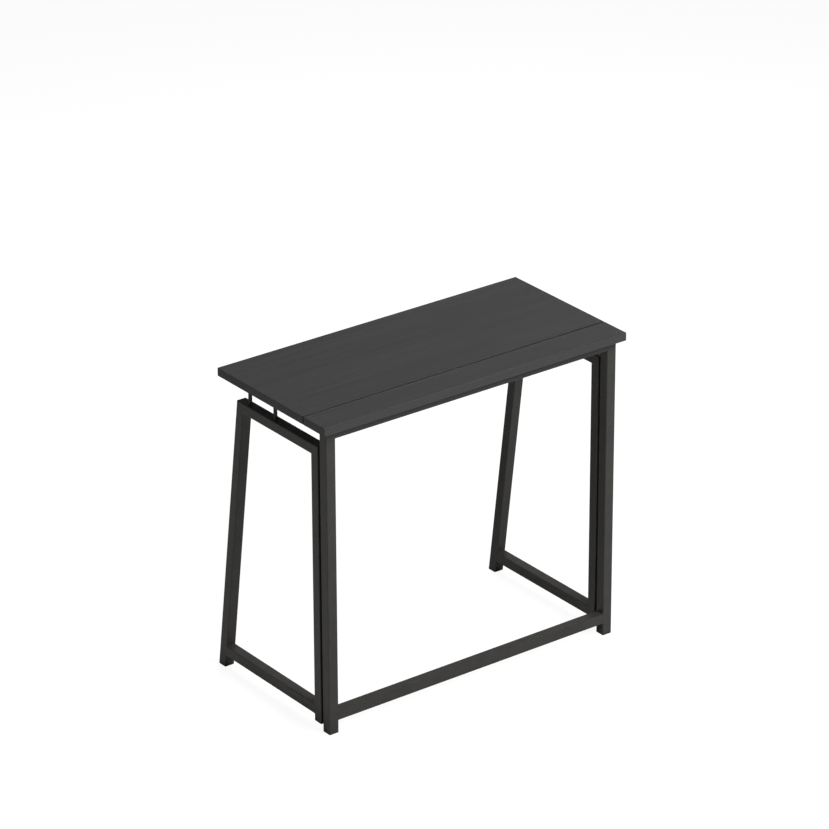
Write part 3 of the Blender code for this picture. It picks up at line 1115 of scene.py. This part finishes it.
@dataclass
class Studio:
    """A pale floor, soft light and the camera behind the desk's right end."""

    floor_side: float = 60.0
    floor_colour: str = "#525251"
    floor_glow: float = 0.92
    # The hidden sheet's two colours are painted shade and painted light, for the desk to mirror.
    sheet_painted_shade: str = "#757574"
    sheet_painted_light: str = "#979796"
    painted_light_behind: tuple[float, float] = (0.0, 0.25)
    light_beside: tuple[float, float] = (0.30, 0.45)
    sheet_drop: float = 0.5 * MM
    matt_roughness: float = 0.9
    matt_specular: float = 0.1
    backdrop: str = "#ffffff"
    room: str = "#646464"
    azimuth: float = math.radians(143.007)
    elevation: float = math.radians(24.935)
    roll: float = math.radians(-0.206)
    distance: float = 9.452
    aim: Vector = field(default_factory=lambda: Vector((0.02293, 0.01895, 0.58121)))
    sensor_mm: float = 36.0
    focal_px: float = 4426.9
    photo_px: float = 829.0
    sight: float = 200.0
    lights: list[SoftBox] = field(default_factory=lambda: [
        SoftBox("front_softbox", Vector((-1.8, -1.8, 2.9)), side=1.2, power=120),
        SoftBox("rear_softbox", Vector((-0.6, 2.3, 2.9)), side=2.0, power=215),
        SoftBox("side_softbox", Vector((3.1, 0.0, 1.85)), side=2.0, power=27)])

    def build(self) -> None:
        """Lay the floor, light the room and set the camera."""
        self.lay_floor()
        self.lay_sheet()
        self.light_room()
        for light in self.lights:
            light.build()
        self.set_camera()

    def lay_plane(self, name: str, drop: float, material: bpy.types.Material) -> bpy.types.Object:
        """Lay a wide plane on the studio's ground.

        Args:
            name: the plane's name.
            drop: how far it lies under the desk's feet.
            material: its material.

        Returns:
            The plane.
        """
        bpy.ops.object.select_all(action="DESELECT")
        bpy.ops.mesh.primitive_plane_add(size=self.floor_side, location=(0, 0, -drop))
        plane = bpy.context.object
        plane.name = name
        plane.data.materials.append(material)
        return plane

    def lay_floor(self) -> None:
        """Lay a pale floor of frosted acrylic, lit from below so that shadows on it stay faint."""
        material, tree, shader = new_material("frosted_acrylic_floor")
        set_node(tree, shader,
                 {"Base Color": linear(self.floor_colour), "Roughness": self.matt_roughness,
                  "Specular IOR Level": self.matt_specular, "Emission Color": linear(self.backdrop),
                  "Emission Strength": self.floor_glow})
        floor = self.lay_plane("studio_floor", 0.0, material)
        # The desk is lit and mirrored by the grey sheet below, not by the glow.
        floor.visible_diffuse = False
        floor.visible_glossy = False
        floor.visible_shadow = False

    def lay_sheet(self) -> None:
        """Lay the grey sheet that the desk mirrors, in painted shade and painted light: darker than the
        floor, most of all under the desk, where its dark stands in for the desk's shadow.
        """
        material, tree, shader = new_material("graduated_paper_sheet")
        place = add_node(tree, "ShaderNodeTexCoord").outputs["Object"]
        parts = add_node(tree, "ShaderNodeSeparateXYZ", links={"Vector": place}).outputs
        # Painted light and shade: the sheet turns light behind the desk and beside its right end, and stays
        # dark under and in front of it.
        behind, beside = (
            add_node(tree, "ShaderNodeMapRange", {"From Min": start, "From Max": end}, {"Value": along})
            for along, (start, end) in ((parts["Y"], self.painted_light_behind), (parts["X"], self.light_beside)))
        either = add_node(tree, "ShaderNodeMath", {"operation": "MAXIMUM"},
                          {0: behind.outputs["Result"], 1: beside.outputs["Result"]})
        ramp = add_node(tree, "ShaderNodeValToRGB", links={"Fac": either.outputs["Value"]})
        tint(ramp, self.sheet_painted_shade, self.sheet_painted_light, 0.0, 1.0)
        set_node(tree, shader, {"Roughness": self.matt_roughness, "Specular IOR Level": self.matt_specular},
                 {"Base Color": ramp.outputs["Color"]})
        self.lay_plane("studio_sheet", self.sheet_drop, material).visible_camera = False

    def light_room(self) -> None:
        """Fill the room with an even dim light, and put a plain backdrop where the floor ends."""
        world = bpy.data.worlds.new("studio_room")
        bpy.context.scene.world = world
        world.use_nodes = True
        tree = world.node_tree
        room = set_node(tree, tree.nodes["Background"], {"Color": linear(self.room)})
        backdrop = add_node(tree, "ShaderNodeBackground", {"Color": linear(self.backdrop)})
        seen = add_node(tree, "ShaderNodeLightPath").outputs["Is Camera Ray"]
        both = add_node(tree, "ShaderNodeMixShader",
                        links={0: seen, 1: room.outputs["Background"], 2: backdrop.outputs["Background"]})
        set_node(tree, tree.nodes["World Output"], links={"Surface": both.outputs["Shader"]})
        bpy.context.scene.view_settings.view_transform = "Standard"

    def set_camera(self) -> None:
        """Put the camera at the photograph's view."""
        back = Vector((math.sin(self.azimuth) * math.cos(self.elevation),
                       -math.cos(self.azimuth) * math.cos(self.elevation), math.sin(self.elevation)))
        right = (-back).cross(UP).normalized()
        up = right.cross(-back)
        across = math.cos(self.roll) * right + math.sin(self.roll) * up
        upward = -math.sin(self.roll) * right + math.cos(self.roll) * up
        lens = bpy.data.cameras.new("photo_camera")
        lens.sensor_width = self.sensor_mm
        lens.lens = self.focal_px / self.photo_px * self.sensor_mm
        lens.clip_end = self.sight
        camera = bpy.data.objects.new("photo_camera", lens)
        turn = Matrix((across, upward, back)).transposed().to_4x4()
        camera.matrix_world = Matrix.Translation(self.aim + back * self.distance) @ turn
        bpy.context.scene.collection.objects.link(camera)
        bpy.context.scene.camera = camera


def main() -> None:
    """Dress the desk and set the studio round it."""
    logging.basicConfig(level=logging.INFO, format="%(name)s: %(message)s")
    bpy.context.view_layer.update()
    assemblies = [DeskTop(), PlankScrews(), RearFrame(), *(SideFrame(side) for side in Side), FrameHinges(),
                  SeamHinges(), Studio()]
    for assembly in assemblies:
        assembly.build()


if __name__ == "__main__":
    main()
